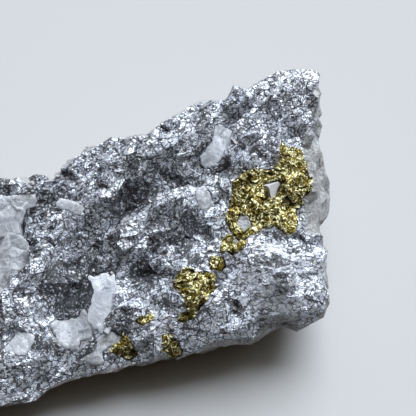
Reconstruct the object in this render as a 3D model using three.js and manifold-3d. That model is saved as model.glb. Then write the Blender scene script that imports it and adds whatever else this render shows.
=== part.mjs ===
// A hand specimen of massive skutterudite with grown-in calcite and chalcopyrite.
// Millimetres, +Z up, +X along the specimen. It lies on its underside, with one broken face turned up and
// towards -Y. The origin is on the surface that it rests on, under the middle of its bounding box.

import * as THREE from "three";
import { ConvexGeometry } from "three/addons/geometries/ConvexGeometry.js";
import { ImprovedNoise } from "three/addons/math/ImprovedNoise.js";
import { mergeVertices } from "three/addons/utils/BufferGeometryUtils.js";
import Module from "manifold-3d";

const wasm = await Module();
wasm.setup();

// ---- Driving dimensions ----

const FACE_HEIGHT = 22; // the broken face over the origin of the plan
const FACE_SLOPE = 0.287; // its rise towards +Y
// Each side: how far the face's rim lies inside the widest outline, how far the face drops at that rim, the
// share of the thickness at which the side is widest, and how far the underside draws in.
const SIDES = {
  left: { inset: 2.6, drop: 3, widest: 0.6, undercut: 9 },
  right: { inset: 1.2, drop: 0.8, widest: 0.8, undercut: 6 },
  front: { inset: 2, drop: 2.2, widest: 0.68, undercut: 12.5 },
  back: { inset: 1.6, drop: 1.2, widest: 0.92, undercut: 7 },
};
const EDGE_FADE = 2.6; // distance over which the face rolls over to its rim
const FACET_SPACING = 2.45; // edge of the facets that the surface is made of
const FOOT = { at: [-17, -5], reach: [23, 12], rise: 2, most: 6 }; // the part of the underside it lies on
const FOOT_DEPTH = 1.1; // lies under the resting plane, which cuts it flat
const GAP = 0.3; // round each mineral that sits in a pocket
const POCKET_DEPTH = 2.6;
const SLAB_DEPTH = 2.8; // how far a calcite slab reaches under the surface
const REACH_OVER = 9; // how far a pocket's cutter reaches over the surface
const CRYSTAL_SINK = 0.26; // how deep a skutterudite crystal's middle lies, as a share of its edge

// ---- The outline in plan, at its widest, as the four sides of a bent rectangle ----

const FRONT_EDGE = [
  [-59.5, -31], [-52, -37.2], [-46, -38.6], [-40.5, -36.8], [-32.8, -34.1], [-25, -30.7], [-21, -29.5],
  [-13.4, -28.4], [-4.5, -26.9], [-0.6, -26.1], [3.4, -24.8], [7.3, -23.1], [11.3, -21.9], [18, -21.2],
  [22, -19.4],
];
const BACK_EDGE = [
  [-61, -1.5], [-56.5, 4], [-50.5, 7], [-42.5, 8.3], [-33.3, 7.9], [-29, 10.4], [-26.3, 12.3], [-22.8, 14.6],
  [-19, 16.4], [-14, 17.5], [-9.9, 19.8], [-4.8, 22.4], [-0.6, 24.5], [4.6, 25.4], [8.8, 27.5], [14, 29.2],
  [19.6, 31.2], [24, 29.8],
];
const LEFT_EDGE = [[-59.5, -31], [-62, -24], [-63, -16], [-63, -8.3], [-61, -1.5]];
const RIGHT_EDGE = [
  [22, -19.4], [23, -16.6], [23.4, -12.7], [24.2, -9.4], [23.2, -7], [21.6, -3.6], [21.8, 3.2], [22.6, 10.4],
  [22.5, 14], [23.2, 22], [24, 29.8],
];

// ---- Landforms of the broken face: where, half-lengths along and across, turn in degrees, and rise ----

const LANDFORMS = [
  { name: "deep hollow", at: [-27, -17], reach: [6.5, 4.2], turn: 78, rise: -7.5 },
  { name: "hollow's upper end", at: [-24, -8.5], reach: [5.5, 4], turn: 60, rise: -3.6 },
  { name: "valley, west", at: [-19, -1], reach: [6.5, 3], turn: 40, rise: -3 },
  { name: "valley, middle", at: [-12.2, 3.2], reach: [6, 2.6], turn: 28, rise: -3.2 },
  { name: "valley, east", at: [-4.4, 6.4], reach: [6, 2.2], turn: 14, rise: -2.4 },
  { name: "terrace behind the valley", at: [-10, 11.5], reach: [13, 4.4], turn: 26, rise: 2.2 },
  { name: "second valley, west", at: [-13.4, -13], reach: [4, 2.8], turn: 60, rise: -2.8 },
  { name: "second valley, east", at: [-6.8, -5.6], reach: [5.5, 2.3], turn: 8, rise: -2.8 },
  { name: "lump between the valleys", at: [-15.8, -7.2], reach: [3.6, 2.8], turn: 30, rise: 2.2 },
  { name: "ridge over the second valley", at: [-5, 1.4], reach: [6, 2.2], turn: 8, rise: 2 },
  { name: "corner block", at: [12.8, -12], reach: [10, 7.5], turn: 12, rise: 2.6 },
  { name: "step under the chalcopyrite", at: [12, -4.6], reach: [9, 1.6], turn: -4, rise: -1.8 },
  { name: "bench of the chalcopyrite", at: [13, 4], reach: [8, 7], turn: 40, rise: -1.2 },
  { name: "tip dimple", at: [13.4, 19.4], reach: [3.4, 2], turn: 0, rise: -1.4 },
  { name: "ridge to the tip", at: [8, 21.5], reach: [9, 2.6], turn: 24, rise: 1 },
  { name: "front roll", at: [-1.6, -22.4], reach: [7, 3], turn: 16, rise: 1.4 },
  { name: "back pit", at: [-32, 1.2], reach: [5, 2], turn: 18, rise: -3 },
  { name: "west block", at: [-34, -11.5], reach: [5, 4.2], turn: 30, rise: 2.4 },
  { name: "west notch", at: [-34.2, -6.6], reach: [1.8, 3.2], turn: 20, rise: -2 },
  { name: "low west block", at: [-36.6, -19], reach: [6, 4], turn: 20, rise: 1.8 },
  { name: "calcite's bay", at: [-41, -5], reach: [4.5, 8], turn: 8, rise: -2.2 },
  { name: "end block", at: [-53, -14], reach: [6, 9], turn: 10, rise: 3 },
  { name: "end hollow", at: [-50, -26], reach: [6, 3.4], turn: 30, rise: -2.4 },
];

// Pushes on the sides: centre, reach, and the shift at the centre.
const SWELLS = [
  { name: "right shoulder", at: [22, 8.5, 12.5], reach: 6.5, push: [4.6, 0, 0] },
  { name: "left hollow", at: [-62, -18, 9], reach: 8, push: [3, 0, 0] },
  { name: "front keel", at: [-12, -20, 5], reach: 9, push: [0, -2, 0] },
];

// Broken planes that shape the hidden sides: which way each faces, and a point on it.
const BROKEN_PLANES = [
  { name: "left end", facing: [-1, -0.35, 0.2], through: [-57.5, -20, 10] },
  { name: "left end, back", facing: [-0.7, 0.8, 0.1], through: [-56.5, 0, 10] },
  { name: "left end, low", facing: [-0.8, 0.1, -0.75], through: [-54, -12, 3.5] },
  { name: "front, low", facing: [0.2, -0.7, -0.7], through: [-6, -26, 4] },
  { name: "front left, low", facing: [-0.3, -0.7, -0.75], through: [-46, -31.5, 3.5] },
  { name: "back, low", facing: [-0.35, 0.85, -0.4], through: [-4, 18, 8] },
  { name: "tip, low", facing: [0.5, 0.4, -0.8], through: [12, 14, 4.5] },
  { name: "right, low", facing: [0.8, 0.1, -0.6], through: [20.5, 4, 5.5] },
];
const PRESS = 0.85; // share of the overhang that a broken plane takes off

// ---- Small helpers ----

const point = (x, y) => new THREE.Vector2(x, y);
const curve = (points) => new THREE.SplineCurve(points.map(([x, y]) => point(x, y)));
const radians = THREE.MathUtils.degToRad;

// A number from 0 to 1 that depends only on a grid cell and a channel.
function hash(x, y, z, channel) {
  const wave = Math.sin(x * 127.1 + y * 311.7 + z * 74.7 + channel * 53.3) * 43758.5453;
  return wave - Math.floor(wave);
}

// A geometry as a manifold-3d solid.
function solid(geometry) {
  const bare = geometry.clone();
  for (const name of Object.keys(bare.attributes)) {
    if (name !== "position") bare.deleteAttribute(name);
  }
  const merged = mergeVertices(bare, 1e-4);
  return new wasm.Manifold(
    new wasm.Mesh({
      numProp: 3,
      vertProperties: new Float32Array(merged.attributes.position.array),
      triVerts: new Uint32Array(merged.index.array),
    }),
  );
}

// A manifold-3d solid as a geometry.
function geometryOf(manifold) {
  const mesh = manifold.getMesh();
  const geometry = new THREE.BufferGeometry();
  geometry.setAttribute("position", new THREE.BufferAttribute(mesh.vertProperties, 3));
  geometry.setIndex(new THREE.BufferAttribute(mesh.triVerts, 1));
  geometry.computeVertexNormals();
  return geometry;
}

const joined = (solids) => solids.reduce((whole, next) => whole.add(next));

// The largest body of a solid, without the loose splinters that a cut leaves.
const largest = (manifold) => manifold.decompose().sort((a, b) => b.volume() - a.volume())[0];

// ---- The skutterudite mass ----

const edges = {
  front: curve(FRONT_EDGE),
  back: curve(BACK_EDGE),
  left: curve(LEFT_EDGE),
  right: curve(RIGHT_EDGE),
};
const corners = {
  frontLeft: edges.front.getPoint(0),
  frontRight: edges.front.getPoint(1),
  backLeft: edges.back.getPoint(0),
  backRight: edges.back.getPoint(1),
};
const halfLength = edges.front.getLength() / 2;
const halfWidth = edges.right.getLength() / 2;

// The plan position of a, from 0 at the left to 1 at the right, and b, from 0 at the front to 1 at the back.
function planPoint(a, b) {
  const alongRows = edges.front.getPointAt(a).lerp(edges.back.getPointAt(a), b);
  const alongColumns = edges.left.getPointAt(b).lerp(edges.right.getPointAt(b), a);
  const flat = point(0, 0)
    .addScaledVector(corners.frontLeft, (1 - a) * (1 - b))
    .addScaledVector(corners.frontRight, a * (1 - b))
    .addScaledVector(corners.backLeft, (1 - a) * b)
    .addScaledVector(corners.backRight, a * b);
  return alongRows.add(alongColumns).sub(flat);
}

// Rise of one oval landform at a plan position.
function rise({ at, reach, turn, rise: height }, x, y) {
  const away = point(x - at[0], y - at[1]).rotateAround(point(0, 0), -radians(turn));
  return height * Math.exp(-((away.x / reach[0]) ** 2) - (away.y / reach[1]) ** 2);
}

function faceHeight(x, y) {
  return LANDFORMS.reduce((height, form) => height + rise(form, x, y), FACE_HEIGHT + FACE_SLOPE * y);
}

function undersideHeight(x, y) {
  const off = ((x - FOOT.at[0]) / FOOT.reach[0]) ** 2 + ((y - FOOT.at[1]) / FOOT.reach[1]) ** 2;
  return -FOOT_DEPTH + Math.min(FOOT.most, FOOT.rise * Math.max(0, off - 1));
}

// Moves a point of the cube from -1 to 1 to its place on the smooth specimen.
function place(v) {
  const level = (v.z + 1) / 2;
  const inset = ({ inset: rim, widest, undercut }) => {
    const over = THREE.MathUtils.smoothstep(level, widest, 1);
    const under = (Math.max(0, widest - level) / widest) ** 2;
    return rim * over + undercut * under;
  };
  const lengthwise = v.x < 0 ? SIDES.left : SIDES.right;
  const crosswise = v.y < 0 ? SIDES.front : SIDES.back;
  const u = v.x * (1 - inset(lengthwise) / halfLength);
  const w = v.y * (1 - inset(crosswise) / halfWidth);
  const plan = planPoint((u + 1) / 2, (w + 1) / 2);
  const dropX = lengthwise.drop * Math.exp(((Math.abs(v.x) - 1) * halfLength) / EDGE_FADE);
  const dropY = crosswise.drop * Math.exp(((Math.abs(v.y) - 1) * halfWidth) / EDGE_FADE);
  const top = faceHeight(plan.x, plan.y) - Math.max(dropX, dropY);
  v.set(plan.x, plan.y, THREE.MathUtils.lerp(undersideHeight(plan.x, plan.y), top, level));
  for (const { at, reach, push } of SWELLS) {
    const share = Math.exp(-v.distanceToSquared(new THREE.Vector3(...at)) / reach ** 2);
    v.addScaledVector(new THREE.Vector3(...push), share);
  }
  for (const { facing, through } of BROKEN_PLANES) {
    const out = new THREE.Vector3(...facing).normalize();
    const beyond = Math.max(0, v.clone().sub(new THREE.Vector3(...through)).dot(out));
    v.addScaledVector(out, -PRESS * beyond);
  }
  return v;
}

// Broken facets: space is parted into cells, and each has its own tilt and step.
function facets(v, cell, tilt, step) {
  const home = v.clone().divideScalar(cell).floor();
  let nearest = Infinity;
  let height = 0;
  for (let i = -1; i <= 1; i++) {
    for (let j = -1; j <= 1; j++) {
      for (let k = -1; k <= 1; k++) {
        const [x, y, z] = [home.x + i, home.y + j, home.z + k];
        const seed = new THREE.Vector3(x + hash(x, y, z, 0), y + hash(x, y, z, 1), z + hash(x, y, z, 2));
        const away = v.clone().addScaledVector(seed, -cell);
        if (away.lengthSq() >= nearest) continue;
        nearest = away.lengthSq();
        const lean = new THREE.Vector3(
          hash(x, y, z, 3) - 0.5,
          hash(x, y, z, 4) - 0.5,
          hash(x, y, z, 5) - 0.5,
        ).normalize();
        height = tilt * away.dot(lean) + step * (hash(x, y, z, 6) - 0.5);
      }
    }
  }
  return height;
}

const swirl = new ImprovedNoise();

function relief(v) {
  const roll = swirl.noise(v.x / 11, v.y / 11, v.z / 11);
  const clear = THREE.MathUtils.smoothstep(v.z, -FOOT_DEPTH, 3);
  return clear * (0.5 * roll + facets(v, 7.5, 0.26, 0.7) + facets(v, 3.9, 0.3, 0.6));
}

function massGeometry() {
  const cube = new THREE.BoxGeometry(
    2, 2, 2,
    Math.round((2 * halfLength) / FACET_SPACING),
    Math.round((2 * halfWidth) / FACET_SPACING),
    Math.round(FACE_HEIGHT / FACET_SPACING),
  );
  cube.deleteAttribute("normal");
  cube.deleteAttribute("uv");
  const mass = mergeVertices(cube, 1e-4);
  const at = mass.getAttribute("position");
  const v = new THREE.Vector3();
  for (let i = 0; i < at.count; i++) {
    place(v.fromBufferAttribute(at, i));
    at.setXYZ(i, v.x, v.y, v.z);
  }
  return grown(mass, relief);
}

// A copy of a geometry with each vertex moved out along its normal.
function grown(geometry, distance) {
  const copy = geometry.clone();
  copy.computeVertexNormals();
  const at = copy.getAttribute("position");
  const out = copy.getAttribute("normal");
  const v = new THREE.Vector3();
  const n = new THREE.Vector3();
  for (let i = 0; i < at.count; i++) {
    v.fromBufferAttribute(at, i);
    v.addScaledVector(n.fromBufferAttribute(out, i), distance(v));
    at.setXYZ(i, v.x, v.y, v.z);
  }
  return copy;
}

const massSurface = massGeometry();
const probe = new THREE.Mesh(massSurface);

// Height of the mass's upper surface over a plan position.
function surfaceHeight(x, y) {
  const ray = new THREE.Raycaster(new THREE.Vector3(x, y, 99), new THREE.Vector3(0, 0, -1));
  return ray.intersectObject(probe)[0].point.z;
}

// ---- Skutterudite crystals that stand out of the mass: cubes with cut corners ----

const CRYSTALS = [
  { at: [-16.6, -7.6], size: 2.6, turn: [20, 12, 40] },
  { at: [20.4, -5.8], size: 3.6, turn: [52, 25, 5] },
  { at: [21.6, 22.6], size: 2.4, turn: [44, -8, 4] },
  { at: [-27.4, 8.8], size: 3.4, turn: [30, 45, 35] },
  { at: [-29.6, 7.2], size: 2.8, turn: [48, 15, 12] },
  { at: [-34.2, 5.2], size: 3, turn: [15, 40, 10] },
  { at: [-35.4, -10], size: 3.8, turn: [35, 30, 55] },
  { at: [-35.2, -5.6], size: 2.6, turn: [58, 14, 30] },
  { at: [-10.4, -5], size: 2.6, turn: [42, 30, 25] },
  { at: [-21, -26.6], size: 2.4, turn: [40, 30, 12] },
  { at: [8.6, 9.8], size: 3.4, turn: [38, 32, 48] },
  { at: [0.6, -3.2], size: 3.2, turn: [28, 48, 20] },
  { at: [-13.6, 12.6], size: 3.4, turn: [48, 22, 62] },
  { at: [4.6, 20.4], size: 2.4, turn: [54, 18, 30] },
  { at: [-30.6, -5.2], size: 3, turn: [38, 46, 24] },
  { at: [-20.4, 5.6], size: 3, turn: [26, 38, 66] },
  { at: [-7.6, 16.4], size: 2.8, turn: [50, 34, 18] },
  { at: [-47, -19], size: 3.8, turn: [42, 30, 12] },
  { at: [-53, -7], size: 4, turn: [52, 18, 44] },
  { at: [-55.4, -21], size: 3.4, turn: [30, 46, 8] },
  { at: [-50.4, 2], size: 3.4, turn: [36, 24, 58] },
  { at: [-5.8, -24.2], size: 2.8, turn: [46, 34, 52] },
  { at: [6.6, -17.6], size: 3, turn: [34, 42, 34] },
  { at: [15, -15], size: 3, turn: [24, 52, 14] },
  { at: [-9.6, -10.6], size: 2.8, turn: [56, 20, 36] },
];

// The one that grew inside the chalcopyrite, in a pocket of its own.
const ENCLOSED_CRYSTAL = { at: [12.7, 5], size: 3.2, turn: [35, 40, 15] };

function crystal({ at, size, turn }, grow) {
  const edge = size + 2 * grow;
  const cube = solid(new THREE.BoxGeometry(edge, edge, edge));
  const corners = solid(new THREE.OctahedronGeometry(size * 1.34 + 2 * grow));
  const place = new THREE.Matrix4()
    .makeRotationFromEuler(new THREE.Euler(...turn.map(radians)))
    .setPosition(at[0], at[1], surfaceHeight(...at) - size * CRYSTAL_SINK);
  return cube.intersect(corners).transform(place.elements);
}

// ---- Patches: minerals that fill a shallow pocket, flush with the surface round them ----

// Plan outlines on the broken face, anticlockwise or clockwise.
const FACE_PATCHES = {
  chalcopyrite_main_patch: {
    lift: 0.5,
    outline: [
      [15.3, 13.6], [17.2, 13.4], [18.6, 12], [19.6, 9.7], [20.4, 6.7], [20.6, 3.6], [18.6, 2.4], [17.6, 0.6],
      [17.7, -2.6], [17, -4.5], [15.3, -4.2], [13.3, -3.6], [10.8, -3.5], [9.2, -4.6], [7.6, -6], [6, -5.6],
      [4.5, -3.6], [4, -0.8], [4.7, 2.2], [5.1, 5.2], [7, 6.6], [8.8, 7.8], [11.5, 8.4], [14, 8.4],
      [14.8, 10.2], [14.8, 12],
    ],
  },
  chalcopyrite_lower_patch: {
    lift: 0.3,
    outline: [
      [-5.6, -13.2], [-3.6, -12.6], [-2, -13.3], [-0.6, -13.2], [1.1, -13.8], [1, -16], [0, -18],
      [-1.6, -19.8], [-2.9, -21.2], [-4.7, -22], [-5.7, -21.8], [-5.4, -21], [-4, -20.6], [-3.9, -19.5],
      [-5.1, -17.4], [-6.1, -15.6],
    ],
  },
  chalcopyrite_vein_upper: {
    lift: 0.2,
    outline: [[2.9, -5.6], [4.6, -5.4], [5.4, -7], [7.5, -6.8], [7.2, -8.6], [4.8, -9.9], [3.2, -8.8]],
  },
  chalcopyrite_vein_lower: {
    lift: 0.2,
    outline: [[1, -10], [2.9, -10.5], [3.3, -12.2], [2.4, -13], [1.2, -12.4], [0.4, -11.2]],
  },
  chalcopyrite_left_speck: {
    lift: 0.3,
    outline: [[-18.9, -26.8], [-17.5, -25.2], [-16.4, -24], [-15.4, -25.5], [-14, -26.6], [-15.4, -27.4]],
  },
  chalcopyrite_right_speck: {
    lift: 0.3,
    outline: [[-8.7, -24.4], [-7.3, -24.1], [-5.8, -25.4], [-5.2, -26.4], [-6.6, -27], [-8.6, -26.6]],
  },
  chalcopyrite_sliver: {
    lift: 0.4,
    outline: [[-14.1, -21.7], [-12.7, -20.9], [-11, -20.8], [-11.6, -21.9], [-13.1, -22.4]],
  },
  calcite_upper_patch: {
    lift: 0.4,
    outline: [
      [1.4, 15.8], [3.5, 16.3], [4.9, 15.5], [4.2, 13.4], [3.3, 11.8], [2.3, 10], [0.8, 9.2], [-1.2, 9.6],
      [-1.7, 10.9], [-0.1, 12], [1.1, 13.5],
    ],
  },
  calcite_middle_patch: {
    lift: 0.3,
    outline: [[-2.4, 3.6], [-0.8, 4.3], [0.5, 3.2], [0.9, 1.6], [-0.3, 0.1], [-1.8, 0.7]],
  },
  calcite_pad: {
    lift: 0.4,
    outline: [
      [-30.8, -21.7], [-30, -20.5], [-29.2, -19.7], [-27.1, -19.5], [-25.4, -19.2], [-24.6, -18.1],
      [-23.6, -20], [-22.6, -23.5], [-23, -24.5], [-25, -24.6], [-25.3, -26.5], [-26.5, -26.4], [-28, -26.1],
      [-29.3, -25], [-30, -23.4],
    ],
  },
};

// Outlines on the sides: the middle of the patch, the way it faces, and its outline across and up.
const SIDE_PATCHES = {
  chalcopyrite_back_patch: {
    lift: 0.3,
    at: [-8, 20, 14],
    facing: [-0.25, 1, 0.2],
    outline: [
      [-5.5, -1], [-4, 2.4], [-0.6, 3.4], [2.4, 2.2], [5.2, 2.8], [6, -0.4], [3, -2.6], [-1, -2], [-3, -3.4],
    ],
  },
  calcite_back_patch: {
    lift: 0.4,
    at: [-40, 6.4, 12],
    facing: [-0.1, 1, 0.1],
    outline: [
      [-6, -1.6], [-5, 2], [-1.6, 3], [2, 1.6], [5.4, 2.6], [6.6, 0.2], [3.6, -2], [0.4, -3.4], [-3, -3],
    ],
  },
};

// An outline moved out by a distance, along the mean of each corner's two edges.
function grownOutline(points, distance) {
  const turn = THREE.ShapeUtils.area(points) > 0 ? 1 : -1;
  return points.map((p, i) => {
    const before = p.clone().sub(points.at(i - 1)).normalize();
    const after = points[(i + 1) % points.length].clone().sub(p).normalize();
    const along = before.add(after).normalize();
    return p.clone().addScaledVector(point(along.y, -along.x), turn * distance);
  });
}

// A prism over an outline, from one height to another along its own Z, put in place by a matrix.
function prism(points, from, to, matrix) {
  const shape = new THREE.Shape(points);
  const geometry = new THREE.ExtrudeGeometry(shape, { depth: to - from, bevelEnabled: false });
  return solid(geometry.translate(0, 0, from).applyMatrix4(matrix));
}

function patch(outline, lift, matrix) {
  const corners = outline.map(([x, y]) => point(x, y));
  const out = new THREE.Vector3().setFromMatrixColumn(matrix, 2).multiplyScalar(lift);
  const layer = solid(massSurface).translate(out.toArray());
  const plug = prism(corners, -POCKET_DEPTH, REACH_OVER, matrix);
  return {
    filling: layer.intersect(plug),
    pocket: prism(grownOutline(corners, GAP), -POCKET_DEPTH - GAP, REACH_OVER, matrix),
  };
}

const middleOf = (outline) =>
  outline.reduce((sum, [x, y]) => sum.add(point(x, y)), point(0, 0)).divideScalar(outline.length);

// Follows the slope of the broken face, and any lean besides, at the surface's own height under the outline's
// middle.
function facePlace(outline, [leanX, leanY] = [0, 0]) {
  const middle = middleOf(outline);
  const slope = FACE_SLOPE + leanY;
  const height = surfaceHeight(middle.x, middle.y) - leanX * middle.x - slope * middle.y;
  return new THREE.Matrix4().makeShear(0, leanX, 0, slope, 0, 0).setPosition(0, 0, height);
}

function sidePlace({ at, facing }) {
  const out = new THREE.Vector3(...facing).normalize();
  const across = new THREE.Vector3(0, 0, 1).cross(out).normalize();
  const up = out.clone().cross(across);
  return new THREE.Matrix4().makeBasis(across, up, out).setPosition(...at);
}

// ---- Calcite crystals: slabs split along the cleavage, and one blade, all sunk into the mass ----

// Each slab: its plan outline, how high its flat top stands, and how its top leans along X and Y.
const CALCITE_SLABS = {
  calcite_cluster: [
    { lift: 1.1, lean: [0.1, 0.1], outline: [[-45.4, 3], [-40.6, 2.4], [-40.2, 0], [-45.8, 0]] },
    {
      lift: 0.8,
      lean: [-0.05, 0],
      outline: [
        [-42.4, 0.4], [-40.3, 1.6], [-37.4, 2.1], [-34.4, 2.2], [-34.8, 1], [-36.9, 0.1], [-37.4, -2.4],
        [-42.6, -2.6],
      ],
    },
    {
      lift: 0.8,
      lean: [-0.12, 0.08],
      outline: [[-46.4, -0.6], [-39.6, -0.8], [-37.1, -1.7], [-36.9, -4.6], [-39, -5.4], [-46.6, -4.8]],
    },
    {
      lift: 1.3,
      lean: [0.1, -0.1],
      outline: [[-46.2, -4.2], [-40.2, -4.6], [-39.2, -7.6], [-41.4, -7.5], [-45.8, -8.2]],
    },
    {
      lift: 0.7,
      lean: [-0.16, 0.1],
      outline: [
        [-39.9, -5.2], [-37.5, -5.2], [-35.6, -6.6], [-35.2, -11.2], [-36.8, -12.4], [-39.8, -11.8],
        [-41, -9.4],
      ],
    },
    {
      lift: 0.5,
      lean: [0.05, 0],
      outline: [[-46, -9.4], [-41.6, -9], [-39.4, -11], [-38.8, -15.8], [-40.2, -17.4], [-44.8, -16]],
    },
  ],
  calcite_front_blocks: [
    {
      lift: 0.5,
      lean: [-0.1, 0],
      outline: [
        [-20.8, -24.4], [-19.5, -23.6], [-18.4, -23.4], [-17.2, -24.2], [-17.3, -25.2], [-20.6, -27],
        [-21.4, -26.2],
      ],
    },
    {
      lift: 0.3,
      lean: [0.08, 0],
      outline: [
        [-25.2, -28.6], [-23.6, -27.9], [-21.7, -27.2], [-21.3, -25.8], [-20.5, -26.4], [-20.4, -28.1],
        [-21, -28.8],
      ],
    },
  ],
  calcite_rhomb: [
    {
      lift: 0.4,
      lean: [0.04, 0.06],
      outline: [[-39.3, -27.2], [-37.1, -24.3], [-35.7, -24.1], [-33.7, -25], [-35.4, -27.9], [-37, -27.9]],
    },
  ],
  calcite_bar: [
    {
      lift: 0.7,
      lean: [0, 0],
      outline: [[-30.3, 1.3], [-29.7, 2.1], [-24.9, 0.5], [-25, -0.4], [-26, -0.7]],
    },
  ],
  calcite_in_chalcopyrite: [
    { lift: 0.4, lean: [0, 0], outline: [[6.4, -0.8], [7.8, -1], [8.6, -2.7], [7.4, -4], [5.8, -3.3]] },
  ],
};

function slab({ outline, lift, lean }, grow) {
  const corners = outline.map(([x, y]) => point(x, y));
  const top = grow > 0 ? REACH_OVER : lift;
  return prism(grownOutline(corners, grow), -SLAB_DEPTH - grow, top, facePlace(outline, lean));
}

// The blade: where its foot stands, which way it leans over its length, and its girth and its shift aside on
// the way up.
const BLADE = {
  foot: [-20.7, -20.8],
  lean: [0.5, 4.7, 6.2],
  sink: 1.4,
  rings: [
    { share: -0.2, girth: 2.3, aside: 0.2 },
    { share: 0.1, girth: 2.8, aside: -0.1 },
    { share: 0.45, girth: 2.1, aside: -0.1 },
    { share: 0.78, girth: 1.9, aside: 0.1 },
    { share: 1, girth: 2.5, aside: 0 },
  ],
  teeth: [[-2.8, 0.7, 1.2], [2.2, 0.6, 2], [3.2, -0.8, -0.6]],
};

// A leaning blade of six sides, waisted half-way up, which ends in three teeth.
function blade(grow) {
  const foot = new THREE.Vector3(...BLADE.foot, surfaceHeight(...BLADE.foot) - BLADE.sink);
  const lean = new THREE.Vector3(...BLADE.lean);
  const ring = ({ share, girth, aside }) =>
    [0, 1, 2, 3, 4, 5].map((i) => {
      const angle = (i * Math.PI) / 3 + 0.4;
      const side = new THREE.Vector3(Math.cos(angle), 0.8 * Math.sin(angle), 0).multiplyScalar(girth + grow);
      return foot.clone().addScaledVector(lean, share).add(side).add(new THREE.Vector3(aside, 0, 0));
    });
  const rings = BLADE.rings.map(ring);
  const stretches = rings.slice(1).map((above, i) => new ConvexGeometry([...rings[i], ...above]));
  const top = foot.clone().add(lean);
  const teeth = BLADE.teeth.map((tip) => {
    const end = new THREE.Vector3(...tip);
    return new ConvexGeometry([...rings.at(-2), top.clone().add(end.setLength(end.length() + grow))]);
  });
  return joined([...stretches, ...teeth].map(solid));
}

// ---- Assembly ----

const MATERIALS = {
  skutterudite: new THREE.MeshStandardMaterial({ color: 0x9a9ca6, roughness: 0.38, metalness: 0.9 }),
  chalcopyrite: new THREE.MeshStandardMaterial({ color: 0xa8923c, roughness: 0.32, metalness: 0.95 }),
  calcite: new THREE.MeshStandardMaterial({ color: 0xd9dee2, roughness: 0.35, metalness: 0 }),
};

const fillings = {};
const pockets = [];

// Puts a mineral in place, and cuts its pocket out of the ones that are there already.
function addFilling(name, filling, pocket) {
  for (const other of Object.keys(fillings)) fillings[other] = fillings[other].subtract(pocket);
  fillings[name] = filling;
  pockets.push(pocket);
}

// Minerals of solid shape, each as a function of how far it is grown.
const pocketed = {
  calcite_blade: blade,
  skutterudite_crystal: (grow) => crystal(ENCLOSED_CRYSTAL, grow),
};
for (const [name, slabs] of Object.entries(CALCITE_SLABS)) {
  pocketed[name] = (grow) => joined(slabs.map((one) => slab(one, grow)));
}
for (const [name, { outline, lift }] of Object.entries(FACE_PATCHES)) {
  const { filling, pocket } = patch(outline, lift, facePlace(outline));
  addFilling(name, filling, pocket);
}
for (const [name, side] of Object.entries(SIDE_PATCHES)) {
  const { filling, pocket } = patch(side.outline, side.lift, sidePlace(side));
  addFilling(name, filling, pocket);
}
for (const [name, shape] of Object.entries(pocketed)) addFilling(name, shape(0), shape(GAP));

const restingHalf = solid(new THREE.BoxGeometry(300, 300, 100).translate(0, 0, 50));
const mass = joined([solid(massSurface), ...CRYSTALS.map((one) => crystal(one, 0))]);
const cut = pockets.reduce((left, pocket) => left.subtract(pocket), mass).intersect(restingHalf);
fillings.skutterudite_mass = cut;

const specimen = new THREE.Group();
for (const [name, filling] of Object.entries(fillings)) {
  const mesh = new THREE.Mesh(geometryOf(largest(filling)), MATERIALS[name.split("_")[0]]);
  mesh.name = name;
  specimen.add(mesh);
}

const bounds = new THREE.Box3().setFromObject(specimen);
const middle = bounds.getCenter(new THREE.Vector3());
specimen.position.set(-middle.x, -middle.y, -bounds.min.z);

export default specimen;
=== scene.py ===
"""A hand specimen of massive skutterudite with chalcopyrite and calcite, lying on a pale table."""

import itertools

import bmesh
import bpy
import numpy as np
from mathutils import Matrix, Vector


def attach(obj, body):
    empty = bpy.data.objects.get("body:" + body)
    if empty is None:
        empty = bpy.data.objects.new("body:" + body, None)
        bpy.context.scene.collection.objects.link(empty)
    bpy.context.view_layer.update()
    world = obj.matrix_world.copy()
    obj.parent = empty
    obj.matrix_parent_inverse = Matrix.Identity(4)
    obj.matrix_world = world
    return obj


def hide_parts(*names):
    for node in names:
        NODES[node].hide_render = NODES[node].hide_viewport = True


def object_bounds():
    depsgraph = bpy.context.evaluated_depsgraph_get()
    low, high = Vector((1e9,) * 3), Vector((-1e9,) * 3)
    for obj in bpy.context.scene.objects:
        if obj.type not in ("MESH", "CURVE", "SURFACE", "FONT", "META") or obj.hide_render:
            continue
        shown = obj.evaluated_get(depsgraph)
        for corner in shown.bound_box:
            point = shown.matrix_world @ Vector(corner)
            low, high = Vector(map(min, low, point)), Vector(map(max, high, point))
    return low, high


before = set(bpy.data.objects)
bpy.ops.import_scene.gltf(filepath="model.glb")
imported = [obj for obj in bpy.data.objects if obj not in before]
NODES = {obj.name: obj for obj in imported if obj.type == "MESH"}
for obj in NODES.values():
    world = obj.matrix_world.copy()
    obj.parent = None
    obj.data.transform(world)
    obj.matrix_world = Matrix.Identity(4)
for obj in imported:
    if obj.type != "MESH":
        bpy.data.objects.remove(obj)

bl_info = {
    "name": "Skutterudite hand specimen",
    "version": (1, 0, 0),
    "blender": (4, 5, 0),
    "location": "View3D > Sidebar > Specimen",
    "description": "Dresses the packed solids of a mineral specimen with fine broken surfaces",
    "category": "Object",
}

CAD_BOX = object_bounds()
MM = 0.001
MASS_NODE = "skutterudite_mass"
FACE_NORMAL = np.array([0.0, -0.276, 0.961])  # the broken face looks up and towards -Y
FACE_LEVEL = 20.76 * MM  # height of the broken face's plane over the origin
FACE_SLOPE = 0.287  # how much the plane rises for each step towards +Y
FACE_BAND = 5 * MM  # how far under its plane the broken face reaches
FOOT_HEIGHT = 1.3 * MM  # how far up the underside reaches
SHARD_CORNERS = 4
SHARD_ROOT = 1.5  # how deep a single crystal is set in the face, in millimetres

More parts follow.
